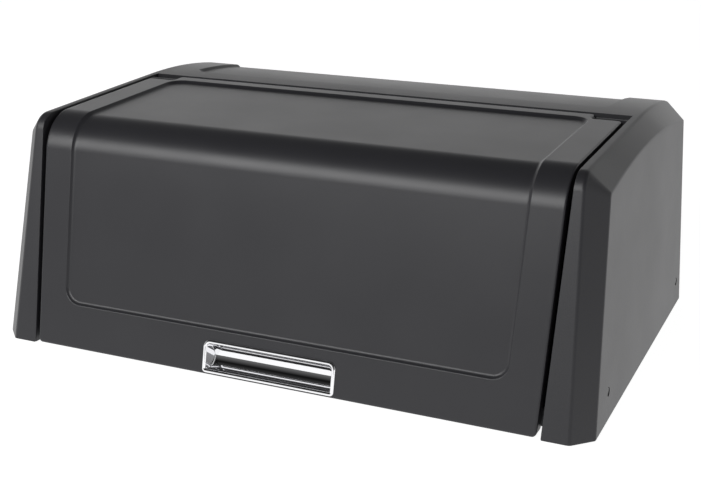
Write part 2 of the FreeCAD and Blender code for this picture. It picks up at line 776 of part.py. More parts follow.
def tray_outline(inset, bottom, top):
    return [
        Corner(tray_front(bottom) + inset, bottom),
        Corner(tray_rear() - inset, bottom),
        Corner(tray_rear() - inset, top),
        Corner(tray_front(top) + inset, top),
    ]


def make_tray():
    body = new_body("base_tray")
    reach = half_width - sizes.wall - sizes.tray_play
    top = sizes.tray_side_height
    floor_top = sizes.tray_bottom + sizes.tray_floor
    inner_reach = reach - sizes.tray_wall
    outside = tray_outline(as_size(0), sizes.tray_bottom, top)
    inside = tray_outline(sizes.tray_wall, floor_top, top + PAST)
    loft(body, "Additive", "Block", mirrored_stations(reach, -1, sizes.side_lean, outside))
    loft(body, "Subtractive", "Hollow", mirrored_stations(inner_reach, -1, sizes.side_lean, inside))
    lower_tray_lips(body)
    for side, _ in SIDES:
        add_tray_bosses(body, side)
    drill_tray(body)
    return body


def lower_tray_lips(body):
    """Cuts the front and rear walls down, so that bread slides in over a low lip."""
    edge = liner_face(sizes.tray_lip_height, outer=True) + sizes.lip_end_gap
    sketch = new_sketch(body, "LipSketch", "XZ_Plane")
    draw_outline(sketch, rectangle(-edge, sizes.tray_lip_height, edge, sizes.tray_side_height + PAST))
    pocket(body, "Lips", sketch, sizes.box_depth + PAST, both_ways=True)


def add_tray_bosses(body, side):
    """Bosses inside the side walls for the side screws."""
    height = sizes.side_screw_height
    start = side_plane(height, sizes.wall + sizes.tray_play + sizes.tray_wall) - sizes.side_boss_length
    for name, back in side_screw_places:
        title = f"{name}Boss" if side > 0 else f"Left{name}Boss"
        sketch = new_sketch(body, f"{title}Sketch", "YZ_Plane", side * start)
        draw_circle(sketch, back, height, sizes.boss_radius)
        pad(body, title, sketch, sizes.side_boss_length + sizes.tray_wall / 2, backwards=side < 0)


def drill_tray(body):
    """Screw bores in the side walls, and holes for the feet and the lid stops."""
    bores = new_sketch(body, "BoreSketch", "YZ_Plane")
    for _, back in side_screw_places:
        draw_circle(bores, back, sizes.side_screw_height, sizes.screw_radius + sizes.screw_play)
    pocket(body, "Bores", bores, sizes.box_width, both_ways=True)
    feet = new_sketch(body, "FootHolesSketch", "XY_Plane", sizes.tray_bottom - PAST)
    for side, _ in SIDES:
        for _, back in foot_places:
            draw_circle(feet, side * foot_across, back, sizes.foot_stem + sizes.foot_stem_play)
    pocket(body, "FootHoles", feet, sizes.tray_floor + PAST * 2, backwards=True)
    stops = new_sketch(body, "StopHolesSketch", "XZ_Plane", -tray_front(sizes.stop_height) + PAST)
    stop_hole = sizes.stop_stem + sizes.foot_stem_play
    for side, _ in SIDES:
        draw_circle(stops, side * stop_across, sizes.stop_height, stop_hole)
    pocket(body, "StopHoles", stops, sizes.tray_wall + PAST * 2)


# ---------------------------------------------------------------- lid

def lid_top_slope():
    """Rise of the lid's top towards its rear edge."""
    return (lid_rear_height - fold_height) / (lid_rear - fold_back)


def lid_fold_corner(depth):
    """Where the lid's front and top planes meet, both moved in by depth."""
    slope = lid_top_slope()
    level = fold_height - depth
    # the front plane moved in, met with the top plane moved down
    gap = as_size(depth) * (1 / front_slant - front_slope)
    rise = slope * gap / (1 - slope * front_slope)
    return front_plane(level + rise, depth), level + rise


def lid_band(outer, inner, bottom, rear):
    """Outline of a layer of the lid between two depths, from its lower edge to its rear edge."""
    outer, inner = as_size(outer), as_size(inner)
    outer_fold_y, outer_fold_z = lid_fold_corner(outer)
    inner_fold_y, inner_fold_z = lid_fold_corner(inner)
    rear_top = lid_rear_height + lid_top_slope() * (rear - lid_rear)
    return [
        Corner(front_plane(bottom, outer), bottom),
        Corner(front_plane(bottom, inner), bottom),
        Corner(inner_fold_y, inner_fold_z, fillet=sizes.fold_round - inner),
        Corner(rear, rear_top - inner),
        Corner(rear, rear_top - outer),
        Corner(outer_fold_y, outer_fold_z, fillet=sizes.fold_round - outer),
    ]


def lid_stations(inset, band):
    """The two ends of a layer of the lid, inset from its side edges."""
    return mirrored_stations(lid_half - inset, 1, sizes.lid_flare, band)


def make_lid():
    body = new_body("lid_panel")
    block = lid_band(0, sizes.lid_flange, sizes.lid_bottom, lid_rear)
    room_depth = sizes.lid_flange + PAST
    room_rear = lid_rear - sizes.flange_wall
    room = lid_band(sizes.lid_skin, room_depth, sizes.lid_bottom - PAST, room_rear)
    field_rear = lid_rear - sizes.field_rear_border
    field = lid_band(-PAST, sizes.field_sink, sizes.field_bottom, field_rear)
    loft(body, "Additive", "Block", lid_stations(0, block))
    loft(body, "Subtractive", "Room", lid_stations(sizes.flange_wall, room))
    loft(body, "Subtractive", "Field", lid_stations(sizes.field_border, field))
    round_field_corners(body)
    cut_hinge_notches(body)
    for side, _ in SIDES:
        add_barrel(body, side)
    bore_barrels(body)
    cut_handle_window(body)
    return body


def round_field_corners(body):
    """Rounds the four corners of the sunk field, seen square to it."""
    near = 1  # a corner's edge is this close to its place, and its length to the field's depth
    edges = []
    for number, edge in enumerate(body.Shape.Edges, start=1):
        middle = edge.CenterOfMass
        side = lid_half - sizes.field_border + lid_side_slope * middle.z
        short = abs(edge.Length - sizes.field_sink.value) < near
        if short and abs(abs(middle.x) - side.value) < near:
            edges.append(f"Edge{number}")
    sunk = body.Tip
    fillet = body.newObject("PartDesign::Fillet", "FieldCorners")
    fillet.Base = (sunk, edges)
    fillet.Radius = sizes.field_round.value
    fillet.setExpression("Radius", sizes.field_round.text)
    doc.recompute()


def cut_hinge_notches(body):
    """Notches in the rear corners, where the shell's knuckles show."""
    sketch = new_sketch(body, "NotchSketch", "XY_Plane", lid_rear_height + PAST)
    far = half_width
    back = lid_rear + PAST
    draw_outline(sketch, rectangle(notch_start, notch_front, far, back))
    draw_second_rectangle(sketch, -far, notch_front, -notch_start, back)
    pocket(body, "Notches", sketch, sizes.lid_flange * 2 + PAST)


def draw_second_rectangle(sketch, left, bottom, right, top):
    """Another rectangle in a sketch that already holds one."""
    corners = rectangle(left, bottom, right, top)
    points = [corner.point() for corner in corners]
    edges = []
    for index in range(4):
        edges.append(sketch.addGeometry(Part.LineSegment(points[index], points[(index + 1) % 4]), False))
    for index, corner in enumerate(corners):
        across, up = corner.across, corner.up
        edge = edges[index]
        sketch.addConstraint(Sketcher.Constraint("Coincident", edges[index - 1], 2, edge, 1))
        bind(sketch, Sketcher.Constraint("DistanceX", edge, 1, across.value), across, f"otherAcross{index}")
        bind(sketch, Sketcher.Constraint("DistanceY", edge, 1, up.value), up, f"otherUp{index}")


def add_barrel(body, side):
    """A barrel on the hinge line, under the lid's rear edge."""
    name = "Barrel" if side > 0 else "LeftBarrel"
    sketch = new_sketch(body, f"{name}Sketch", "YZ_Plane", side * barrel_start)
    draw_circle(sketch, hinge_back, hinge_height, sizes.barrel_radius)
    pad(body, name, sketch, notch_start - barrel_start, backwards=side < 0)


def bore_barrels(body):
    sketch = new_sketch(body, "BarrelBoreSketch", "YZ_Plane")
    draw_circle(sketch, hinge_back, hinge_height, sizes.bush_radius + sizes.pin_play)
    pocket(body, "BarrelBore", sketch, notch_start * 2 + PAST, both_ways=True)


def cup_shell_half():
    """Half height of the cup's shell where it passes the lid."""
    return sizes.cup_half_tall - sizes.cup_rim + sizes.cup_wall


def cut_handle_window(body):
    """The window that the handle cup drops into."""
    half_tall = (cup_shell_half() + sizes.cup_play) * front_slant
    half_wide = sizes.cup_half - sizes.cup_rim + sizes.cup_wall + sizes.cup_play
    sketch = new_sketch(body, "WindowSketch", "XZ_Plane", half_depth + PAST)
    low, high = cup_height - half_tall, cup_height + half_tall
    draw_outline(sketch, rectangle(-half_wide, low, half_wide, high))
    pocket(body, "Window", sketch, sizes.lid_flange + PAST * 2)


# ---------------------------------------------------------------- handle

def seat_on_front(piece):
    """Places a handle piece: its X is along the box, its Y up the lid's face, its Z out of it."""
    middle_y = front_plane(cup_height)
    middle_z = cup_height + sizes.foot_stand
    turn = 90 - sizes.front_lean
    rotation = FreeCAD.Rotation(FreeCAD.Vector(1, 0, 0), turn.value)
    piece.Placement = FreeCAD.Placement(FreeCAD.Vector(0, middle_y.value, middle_z.value), rotation)
    piece.setExpression("Placement.Base.y", middle_y.text)
    piece.setExpression("Placement.Base.z", middle_z.text)
    piece.setExpression("Placement.Rotation.Angle", turn.text)


def trough_corners(half_tall, back, front):
    """Section of a trough: a half round at the back, straight sides out to the front."""
    return [
        Corner(-half_tall, front),
        Corner(-half_tall, back, fillet=half_tall - sizes.cup_flat),
        Corner(half_tall, back, fillet=half_tall - sizes.cup_flat),
        Corner(half_tall, front),
    ]


def make_handle_cup():
    body = doc.addObject("PartDesign::Body", "handle_cup")
    body.Label = "handle_cup"
    seat_on_front(body)
    half_wide, half_tall = sizes.cup_half, sizes.cup_half_tall
    rim = new_sketch(body, "RimSketch", "XY_Plane")
    draw_outline(rim, [
        Corner(-half_wide, -half_tall, fillet=sizes.cup_low_round),
        Corner(half_wide, -half_tall, fillet=sizes.cup_low_round),
        Corner(half_wide, half_tall, fillet=sizes.cup_top_round),
        Corner(-half_wide, half_tall, fillet=sizes.cup_top_round),
    ])
    pad(body, "Rim", rim, sizes.cup_rim_thick)
    inner_half = half_tall - sizes.cup_rim
    inner_wide = half_wide - sizes.cup_rim
    back = -(sizes.cup_depth + sizes.cup_wall)
    shell = new_sketch(body, "ShellSketch", "YZ_Plane")
    draw_outline(shell, trough_corners(cup_shell_half(), back, sizes.cup_rim_thick / 2))
    pad(body, "Shell", shell, (inner_wide + sizes.cup_wall) * 2, both_ways=True)
    posts = new_sketch(body, "PostSketch", "XY_Plane", back - sizes.post_tall)
    for side, _ in SIDES:
        draw_circle(posts, side * post_across, 0, sizes.post_radius)
    pad(body, "Posts", posts, sizes.post_tall + sizes.cup_wall / 2)
    trough = new_sketch(body, "TroughSketch", "YZ_Plane")
    draw_outline(trough, trough_corners(inner_half, -sizes.cup_depth, sizes.cup_rim_thick + PAST))
    pocket(body, "Trough", trough, inner_wide * 2, both_ways=True)
    pilots = new_sketch(body, "PilotSketch", "XY_Plane", back - sizes.post_tall - PAST)
    for side, _ in SIDES:
        draw_circle(pilots, side * post_across, 0, sizes.screw_radius)
    pocket(body, "Pilots", pilots, sizes.post_tall + PAST, backwards=True)
    return body


def strap_level():
    """Depth of the strap's front face behind the lid's face, where it meets the posts."""
    return sizes.cup_depth + sizes.cup_wall + sizes.post_tall


def make_handle_strap():
    """A hat-shaped strap: its feet bear on the lid's inside, its middle pulls the cup in."""
    body = doc.addObject("PartDesign::Body", "handle_strap")
    body.Label = "handle_strap"
    seat_on_front(body)
    thick = sizes.strap_thick
    near = -sizes.lid_skin
    far = -strap_level()
    knee = sizes.cup_half - sizes.cup_rim + sizes.cup_wall + sizes.cup_play * 2
    toe = knee + sizes.strap_foot
    sketch = new_sketch(body, "HatSketch", "XZ_Plane")
    draw_outline(sketch, [
        Corner(-toe, near - thick),
        Corner(-knee - thick, near - thick),
        Corner(-knee - thick, far - thick),
        Corner(knee + thick, far - thick),
        Corner(knee + thick, near - thick),
        Corner(toe, near - thick),
        Corner(toe, near),
        Corner(knee, near),
        Corner(knee, far),
        Corner(-knee, far),
        Corner(-knee, near),
        Corner(-toe, near),
    ])
    pad(body, "Hat", sketch, sizes.strap_half_tall * 2, both_ways=True)
    holes = new_sketch(body, "HoleSketch", "XY_Plane", far + PAST)
    for side, _ in SIDES:
        draw_circle(holes, side * post_across, 0, sizes.screw_radius + sizes.screw_play)
    pocket(body, "Holes", holes, thick + PAST * 2)
    return body


# ---------------------------------------------------------------- round pieces

DIRECTIONS = {
    "+X": FreeCAD.Vector(1, 0, 0),
    "-X": FreeCAD.Vector(-1, 0, 0),
    "-Y": FreeCAD.Vector(0, -1, 0),
    "+Y": FreeCAD.Vector(0, 1, 0),
    "+Z": FreeCAD.Vector(0, 0, 1),
}


def cylinder(name, radius, length, place, direction, end_radius=None):
    """A round bar, or a cone when it has an end radius, from place along a direction."""
    radius, length = as_size(radius), as_size(length)
    bar = doc.addObject("Part::Cylinder" if end_radius is None else "Part::Cone", name)
    if end_radius is None:
        bar.setExpression("Radius", radius.text)
    else:
        bar.setExpression("Radius1", radius.text)
        bar.setExpression("Radius2", as_size(end_radius).text)
    bar.setExpression("Height", length.text)
    turn = FreeCAD.Rotation(FreeCAD.Vector(0, 0, 1), DIRECTIONS[direction])
    place = [as_size(value) for value in place]
    bar.Placement = FreeCAD.Placement(FreeCAD.Vector(*[value.value for value in place]), turn)
    for letter, value in zip("xyz", place):
        bar.setExpression(f"Placement.Base.{letter}", value.text)
    return bar


def along(place, direction, distance):
    """A place moved along a direction."""
    step = DIRECTIONS[direction]
    return [as_size(value) + as_size(distance) * part for value, part in zip(place, step)]


def joined(name, pieces):
    fuse = doc.addObject("Part::MultiFuse", name)
    fuse.Shapes = pieces
    return fuse


def group(label, pieces):
    """One node made of separate identical solids."""
    compound = doc.addObject("Part::Compound", label)
    compound.Label = label
    compound.Links = pieces
    return compound


def screw(name, seat, direction, head_radius, head_tall, length):
    """A screw with its head behind the seat and its shank along the direction."""
    top = along(seat, direction, -as_size(head_tall))
    head = cylinder(f"{name}Head", head_radius, head_tall, top, direction)
    shank = cylinder(f"{name}Shank", sizes.screw_radius, length, seat, direction)
    return joined(name, [head, shank])


def make_side_screws(side, label):
    """The screws that hold the tray, from outside."""
    direction = "-X" if side > 0 else "+X"
    screws = []
    for name, back in side_screw_places:
        seat = [side * side_screw_seat(), back, sizes.side_screw_height]
        head = (sizes.screw_head_radius, sizes.screw_head_tall, sizes.screw_length)
        screws.append(screw(f"{label}{name}SideScrew", seat, direction, *head))
    screws_node = group(f"{label}_side_screws", screws)
    lift(screws_node)
    return screws_node


def make_liner_screws(side, label):
    """The screws that hold a liner, from inside."""
    direction = "+X" if side > 0 else "-X"
    screws = []
    for number, (back, height) in enumerate(liner_screw_places):
        seat = [side * liner_face(height - sizes.liner_screw_head), back, height]
        head = (sizes.liner_screw_head, sizes.liner_screw_tall, sizes.screw_length)
        screws.append(screw(f"{label}LinerScrew{number}", seat, direction, *head))
    screws_node = group(f"{label}_liner_screws", screws)
    lift(screws_node)
    return screws_node


def make_hinge_pin(side, label):
    start = barrel_start + sizes.pin_recess
    length = knuckle_end() - start
    direction = "+X" if side > 0 else "-X"
    place = [side * start, hinge_back, hinge_height]
    pin = cylinder(f"{label}_hinge_pin", sizes.pin_radius, length, place, direction)
    pin.Label = f"{label}_hinge_pin"
    pin.setExpression("Placement.Base.z", (hinge_height + sizes.foot_stand).text)
    return pin


def make_hinge_bush(side, label):
    """A flanged nylon bush, turned in one piece, in the lid's barrel."""
    body = new_body(f"{label}_hinge_bush")
    start, end = barrel_start, notch_start
    sketch = new_sketch(body, "BushSketch", "YZ_Plane", side * start)
    draw_circle(sketch, hinge_back, hinge_height, sizes.bush_radius)
    pad(body, "Sleeve", sketch, end - start, backwards=side < 0)
    flange = new_sketch(body, "FlangeSketch", "YZ_Plane", side * end)
    draw_circle(flange, hinge_back, hinge_height, sizes.knuckle_radius)
    pad(body, "Flange", flange, sizes.bush_flange, backwards=side < 0)
    bore = new_sketch(body, "BoreSketch", "YZ_Plane")
    draw_circle(bore, hinge_back, hinge_height, sizes.pin_radius + sizes.pin_play)
    pocket(body, "Bore", bore, (end + sizes.bush_flange) * 2 + PAST, both_ways=True)
    return body


def make_foot(label, across, back):
    """A rubber foot: a pad, a stem through the tray and a knob that holds it."""
    table = [across, back, -sizes.foot_stand]
    under_tray = [across, back, sizes.tray_bottom]
    on_tray = [across, back, sizes.tray_bottom + sizes.tray_floor]
    pad_tall = sizes.foot_stand + sizes.tray_bottom
    stem_tall = sizes.tray_floor + sizes.foot_knob_tall
    knob_radius, knob_tall = sizes.foot_knob_radius, sizes.foot_knob_tall
    toe = cylinder(f"{label}Pad", sizes.foot_toe_radius, pad_tall, table, "+Z", sizes.foot_radius)
    stem = cylinder(f"{label}Stem", sizes.foot_stem, stem_tall, under_tray, "+Z")
    knob = cylinder(f"{label}Knob", knob_radius, knob_tall, on_tray, "+Z", sizes.foot_stem)
    foot = joined(label, [toe, stem, knob])
    foot.Label = label
    lift(foot)
    return foot


def make_lid_stop(side, label):
    """A rubber stud on the tray's front wall, where the closed lid comes to rest."""
    height = sizes.stop_height
    seat_y = tray_front(height - sizes.stop_radius)
    lid_y = front_plane(height + sizes.stop_radius, sizes.lid_skin) + sizes.stop_play
    across = side * stop_across
    stud = cylinder(f"{label}Stud", sizes.stop_radius, seat_y - lid_y, [across, seat_y, height], "-Y")
    wall_end = tray_front(height + sizes.stop_stem) + sizes.tray_wall
    stem = cylinder(f"{label}StopStem", sizes.stop_stem, wall_end - seat_y, [across, seat_y, height], "+Y")
    stop = joined(f"{label}_lid_stop", [stud, stem])
    stop.Label = f"{label}_lid_stop"
    lift(stop)
    return stop


def make_handle_screws():
    """The two screws through the strap into the cup's posts."""
    screws = []
    for side, label in SIDES:
        seat = [side * post_across, 0, -strap_level() - sizes.strap_thick]
        head = (sizes.screw_head_radius, sizes.screw_head_tall, sizes.strap_thick + sizes.post_tall)
        screws.append(screw(f"{label}HandleScrew", seat, "+Z", *head))
    node = group("handle_screws", screws)
    seat_on_front(node)
    return node


# ---------------------------------------------------------------- the box

def make_all():
    nodes = [make_shell(), make_tray(), make_lid()]
    for side, label in SIDES:
        nodes.append(make_liner(side, label))
        nodes.append(make_liner_screws(side, label))
        nodes.append(make_side_screws(side, label))
        nodes.append(make_hinge_pin(side, label))
        nodes.append(make_hinge_bush(side, label))
        nodes.append(make_lid_stop(side, label))
        for end, back in foot_places:
            nodes.append(make_foot(f"{end}_{label}_foot", side * foot_across, back))
    nodes.append(make_handle_cup())
    nodes.append(make_handle_strap())
    nodes.append(make_handle_screws())
    return nodes


def check_document(nodes):
    """Stops before anything is written if an object failed or a shape is not sound."""
    for piece in doc.Objects:
        if "Invalid" in piece.State or "Error" in piece.State:
            raise ValueError(f"{piece.Label} failed: {piece.State}")
    for node in nodes:
        if node.Shape.isNull() or not node.Shape.isValid():
            raise ValueError(f"{node.Label} has no sound shape")


def write_parts(nodes):
    os.makedirs("parts", exist_ok=True)
    for node in nodes:
        node.Shape.exportStep(f"parts/{node.Label}.step")


all_nodes = make_all()
doc.recompute()
check_document(all_nodes)
write_parts(all_nodes)
for written in all_nodes:
    volume = written.Shape.Volume / 1000
    print(f"{written.Label}: {len(written.Shape.Solids)} solid(s), {volume:.2f} cm3")
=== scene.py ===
"""A black bread box with a swing-up lid: its visible pieces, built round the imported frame."""
import json
from math import cos, pi, radians, sin, sqrt, tan

import bmesh
import bpy
from mathutils import Matrix, Vector

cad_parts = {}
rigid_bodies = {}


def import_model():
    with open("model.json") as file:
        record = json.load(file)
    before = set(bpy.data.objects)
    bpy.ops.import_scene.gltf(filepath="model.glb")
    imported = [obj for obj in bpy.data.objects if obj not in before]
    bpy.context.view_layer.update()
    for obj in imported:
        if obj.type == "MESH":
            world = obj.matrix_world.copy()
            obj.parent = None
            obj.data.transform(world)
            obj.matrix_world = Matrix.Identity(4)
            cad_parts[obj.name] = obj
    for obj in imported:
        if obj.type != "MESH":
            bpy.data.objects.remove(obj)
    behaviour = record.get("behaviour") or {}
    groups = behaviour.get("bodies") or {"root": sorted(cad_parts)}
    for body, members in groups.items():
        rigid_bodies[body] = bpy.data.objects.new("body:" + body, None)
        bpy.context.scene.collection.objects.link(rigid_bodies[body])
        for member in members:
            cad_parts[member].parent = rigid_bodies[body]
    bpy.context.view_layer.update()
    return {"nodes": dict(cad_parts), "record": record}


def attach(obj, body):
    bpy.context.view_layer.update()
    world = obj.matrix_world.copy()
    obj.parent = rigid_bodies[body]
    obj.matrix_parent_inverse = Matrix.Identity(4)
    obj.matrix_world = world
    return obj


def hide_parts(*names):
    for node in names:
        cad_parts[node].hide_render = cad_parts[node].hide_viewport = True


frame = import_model()

# ---- Housing shell ---------------------------------------------------------------------------
# One injection moulding in black ABS: both side walls, the slanted strips beside the lid, the rear
# deck with its sunk field and the back wall. It carries the hinge knuckles and stands on four feet.
MM = 0.001
RIM = 1.5                    # height of the shell's rim above the table, on its feet
WALL = 2.5
FRONT_SLOPE = 0.21986        # how far the front goes back for each millimetre up
FACET_SLOPE = 0.228
SIDE_SLOPE = 0.05398         # how far the sides lean in for each millimetre up
FRONT, BACK = -132.5, 132.5
FACET_FRONT = -119.8
RIDGE_HALF, SIDE_HALF = 197.4, 210
OPENING_HALF, OPENING_SPREAD = 180.1, 0.0239
PEAK_Y, PEAK_Z, REAR_Z = 45, 156, 149.2
DECK_FRONT = 43.5
DECK_RADIUS, SIDE_RADIUS = 448, 680
FOLD_Y, FOLD_Z = -98.9, 152.8
FIELD_HALF, FIELD_FRONT, FIELD_SINK = 160, 66, 1.9
HINGE_Y, HINGE_Z = 34, 150.2
KNUCKLE_START, KNUCKLE_END, KNUCKLE_RADIUS = 162, 183.2, 4.7


def at(x, y, z):
    """A point in metres, from millimetres whose height is counted from the shell's rim."""
    return Vector((x, y, z + RIM)) * MM


def leave():
    """Ends any editing and leaves nothing selected."""
    if bpy.context.mode != "OBJECT":
        bpy.ops.object.mode_set(mode="OBJECT")
    bpy.ops.object.select_all(action="DESELECT")


def begin(name):
    """Starts an empty piece and leaves it open for editing."""
    leave()
    bpy.ops.mesh.primitive_plane_add(size=MM)
    piece = bpy.context.object
    piece.name = name
    bpy.ops.object.mode_set(mode="EDIT")
    bpy.ops.mesh.delete(type="VERT")
    return piece


def trace(points, closed=False):
    """Draws a line through points by pulling its end along, in the piece open for editing."""
    bpy.ops.mesh.select_mode(type="VERT")
    bpy.ops.mesh.select_all(action="DESELECT")
    bpy.ops.mesh.primitive_plane_add(size=MM, location=points[0])
    bpy.ops.mesh.merge(type="CENTER")
    route = points[1:] + points[:1] if closed else points[1:]
    here = points[0]
    for point in route:
        bpy.ops.mesh.extrude_vertices_move(TRANSFORM_OT_translate={"value": point - here})
        here = point
    bpy.ops.mesh.select_linked()
    bpy.ops.mesh.remove_doubles(threshold=0.001 * MM)


def rounded(corners, steps=8):
    """The points of a flat outline whose corners are (across, up, radius)."""
    points = []
    for number, (across, up, radius) in enumerate(corners):
        corner = Vector((across, up))
        if radius == 0:
            points.append(corner)
            continue
        back = (Vector(corners[number - 1][:2]) - corner).normalized()
        ahead = (Vector(corners[(number + 1) % len(corners)][:2]) - corner).normalized()
        half = back.angle(ahead) / 2
        centre = corner + (back + ahead).normalized() * radius / sin(half)
        arm = corner + back * radius / tan(half) - centre
        side = 1 if back.y * ahead.x > back.x * ahead.y else -1
        for step in range(steps + 1):
            turned = Matrix.Rotation(side * (pi - 2 * half) * step / steps, 2) @ arm
            points.append(centre + turned)
    return points


def on_arc(y, start, end, radius):
    """Height at y on the arc that rises between two (y, z) points."""
    start, end = Vector(start), Vector(end)
    chord = end - start
    reach = sqrt(radius ** 2 - (chord.length / 2) ** 2)
    centre = (start + end) / 2 + Vector((chord.y, -chord.x)).normalized() * reach
    return centre.y + sqrt(radius ** 2 - (y - centre.x) ** 2)


def pick(piece, kind, test):
    """Selects the vertices, edges or faces whose every corner passes the test, in millimetres."""
    bpy.ops.mesh.select_mode(type=kind)
    bpy.ops.mesh.select_all(action="DESELECT")
    mesh = bmesh.from_edit_mesh(piece.data)
    mesh.verts.ensure_lookup_table()
    passed = {v for v in mesh.verts if test(v.co.x / MM, v.co.y / MM, v.co.z / MM - RIM)}
    if kind == "VERT":
        chosen = passed
    elif kind == "EDGE":
        chosen = [edge for edge in mesh.edges if all(v in passed for v in edge.verts)]
    else:
        chosen = [face for face in mesh.faces if all(v in passed for v in face.verts)]
    for item in chosen:
        item.select_set(True)
    mesh.select_flush_mode()
    bmesh.update_edit_mesh(piece.data)


def close(piece):
    """Ends the editing of a piece and makes it the active one."""
    leave()
    bpy.context.view_layer.objects.active = piece
    piece.select_set(True)


def reopen(piece):
    close(piece)
    bpy.ops.object.mode_set(mode="EDIT")


def modify(piece, kind, **settings):
    """Adds a modifier with its settings and applies it."""
    close(piece)
    modifier = piece.modifiers.new("step", kind)
    for name, value in settings.items():
        setattr(modifier, name, value)
    bpy.ops.object.modifier_apply(modifier=modifier.name)


def combine(piece, tool, operation="DIFFERENCE"):
    """Cuts a tool out of a piece, or joins it on, and clears the tool away."""
    modify(piece, "BOOLEAN", object=tool, operation=operation, solver="EXACT")
    bpy.data.objects.remove(tool)


def block(low, high, rounding=0):
    """A block between two corners in millimetres, with its edges rounded."""
    middle, size = (Vector(low) + Vector(high)) / 2, Vector(high) - Vector(low)
    leave()
    bpy.ops.mesh.primitive_cube_add(size=MM, location=at(*middle), scale=size)
    piece = bpy.context.object
    bpy.ops.object.transform_apply(location=True, rotation=True, scale=True)
    if rounding:
        modify(piece, "BEVEL", width=rounding * MM, segments=3)
    return piece


def rod(centre, radius, length, turn=(0, pi / 2, 0), rounding=0):
    """A round bar in millimetres that lies along X unless it is turned."""
    leave()
    bpy.ops.mesh.primitive_cylinder_add(vertices=48, radius=radius * MM, depth=length * MM,
                                        location=at(*centre), rotation=turn)
    piece = bpy.context.object
    bpy.ops.object.transform_apply(location=True, rotation=True, scale=True)
    if rounding:
        modify(piece, "BEVEL", width=rounding * MM, segments=3, limit_method="ANGLE")
    return piece


def smooth(piece, angle=32):
    """Shades a piece smoothly and keeps its flat faces flat."""
    close(piece)
    bpy.ops.object.shade_smooth_by_angle(angle=radians(angle))
    modify(piece, "WEIGHTED_NORMAL", keep_sharp=True, weight=80)


def ridge_top(y):
    """Height of the ridge beside the lid and over the deck."""
    if y > PEAK_Y:
        return on_arc(y, (PEAK_Y, PEAK_Z), (BACK, REAR_Z), DECK_RADIUS)
    return FOLD_Z + (PEAK_Z - FOLD_Z) * (y - FOLD_Y) / (PEAK_Y - FOLD_Y)


def side_top(y):
    """Height of the side faces' upper edge."""
    if y > PEAK_Y:
        return on_arc(y, (PEAK_Y, 145.9), (BACK, 135.8), SIDE_RADIUS)
    return on_arc(y, (-60, 143), (PEAK_Y, 145.9), SIDE_RADIUS)


def shell_outline(half, lean, front, fold, top):
    """One end-to-end line of the shell: up the front, over the fold, along the top, down the back."""
    turn = rounded([(front, 0, 0), fold, (-60, top(-60), 0)])
    stations = [-60 + step * (PEAK_Y + 60) / 8 for step in range(1, 9)]
    stations += [PEAK_Y + step * (BACK - PEAK_Y) / 14 for step in range(1, 15)]
    line = turn + [Vector((y, top(y))) for y in stations] + [Vector((BACK, 0))]
    return [at(half - lean * point.y, point.x, point.y) for point in line]


def near(value, target, within=0.1):
    return abs(value - target) < within


def on_ridge(x, y, z):
    return near(abs(x), RIDGE_HALF - 0.054 * z)


def on_side(x, y, z):
    return near(abs(x), SIDE_HALF - SIDE_SLOPE * z)


shell = begin("bread_box_shell")
trace(shell_outline(RIDGE_HALF, 0.054, FRONT, (FOLD_Y, FOLD_Z, 13), ridge_top))
trace(shell_outline(SIDE_HALF, SIDE_SLOPE, FACET_FRONT, (-88, 139.5, 4), side_top))
bpy.ops.mesh.select_mode(type="EDGE")
bpy.ops.mesh.select_all(action="SELECT")
bpy.ops.mesh.bridge_edge_loops()
pick(shell, "VERT", on_side)
bpy.ops.mesh.edge_face_add()
pick(shell, "EDGE", on_ridge)
bpy.ops.mesh.extrude_edges_move()
bpy.ops.transform.resize(value=(0, 1, 1), center_override=(0, 0, 0))
modify(shell, "MIRROR", use_clip=True)
reopen(shell)
bpy.ops.mesh.select_all(action="SELECT")
bpy.ops.mesh.remove_doubles(threshold=0.01 * MM)
bpy.ops.mesh.normals_make_consistent(inside=False)
modify(shell, "SOLIDIFY", thickness=WALL * MM, offset=-1, use_even_offset=True)
reopen(shell)
pick(shell, "VERT", lambda x, y, z: z < 1.2)
bpy.ops.transform.resize(value=(1, 1, 0), center_override=at(0, 0, 0))
pick(shell, "EDGE", lambda x, y, z: on_ridge(x, y, z) and not (near(y, BACK) and z < REAR_Z - 1))
bpy.ops.mesh.bevel(offset=1.5 * MM, segments=4, affect="EDGES")
pick(shell, "EDGE", on_side)
bpy.ops.mesh.bevel(offset=0.9 * MM, segments=3, affect="EDGES")
pick(shell, "EDGE", lambda x, y, z: near(y, BACK) and z > REAR_Z - 0.5)
bpy.ops.mesh.bevel(offset=1.2 * MM, segments=3, affect="EDGES")

opening = block((-1, -200, -5), (1, DECK_FRONT, 200))
reopen(opening)
for height in (-5, 200):
    half = OPENING_HALF + OPENING_SPREAD * height
    pick(opening, "VERT", lambda x, y, z: near(z, height))
    bpy.ops.transform.resize(value=(half, 1, 1), center_override=(0, 0, 0))
combine(shell, opening)
reopen(shell)
pick(shell, "EDGE", lambda x, y, z: near(abs(x), OPENING_HALF + OPENING_SPREAD * z, 0.02) and y < DECK_FRONT + 0.1)
bpy.ops.mesh.bevel(offset=0.6 * MM, segments=2, affect="EDGES", clamp_overlap=False)


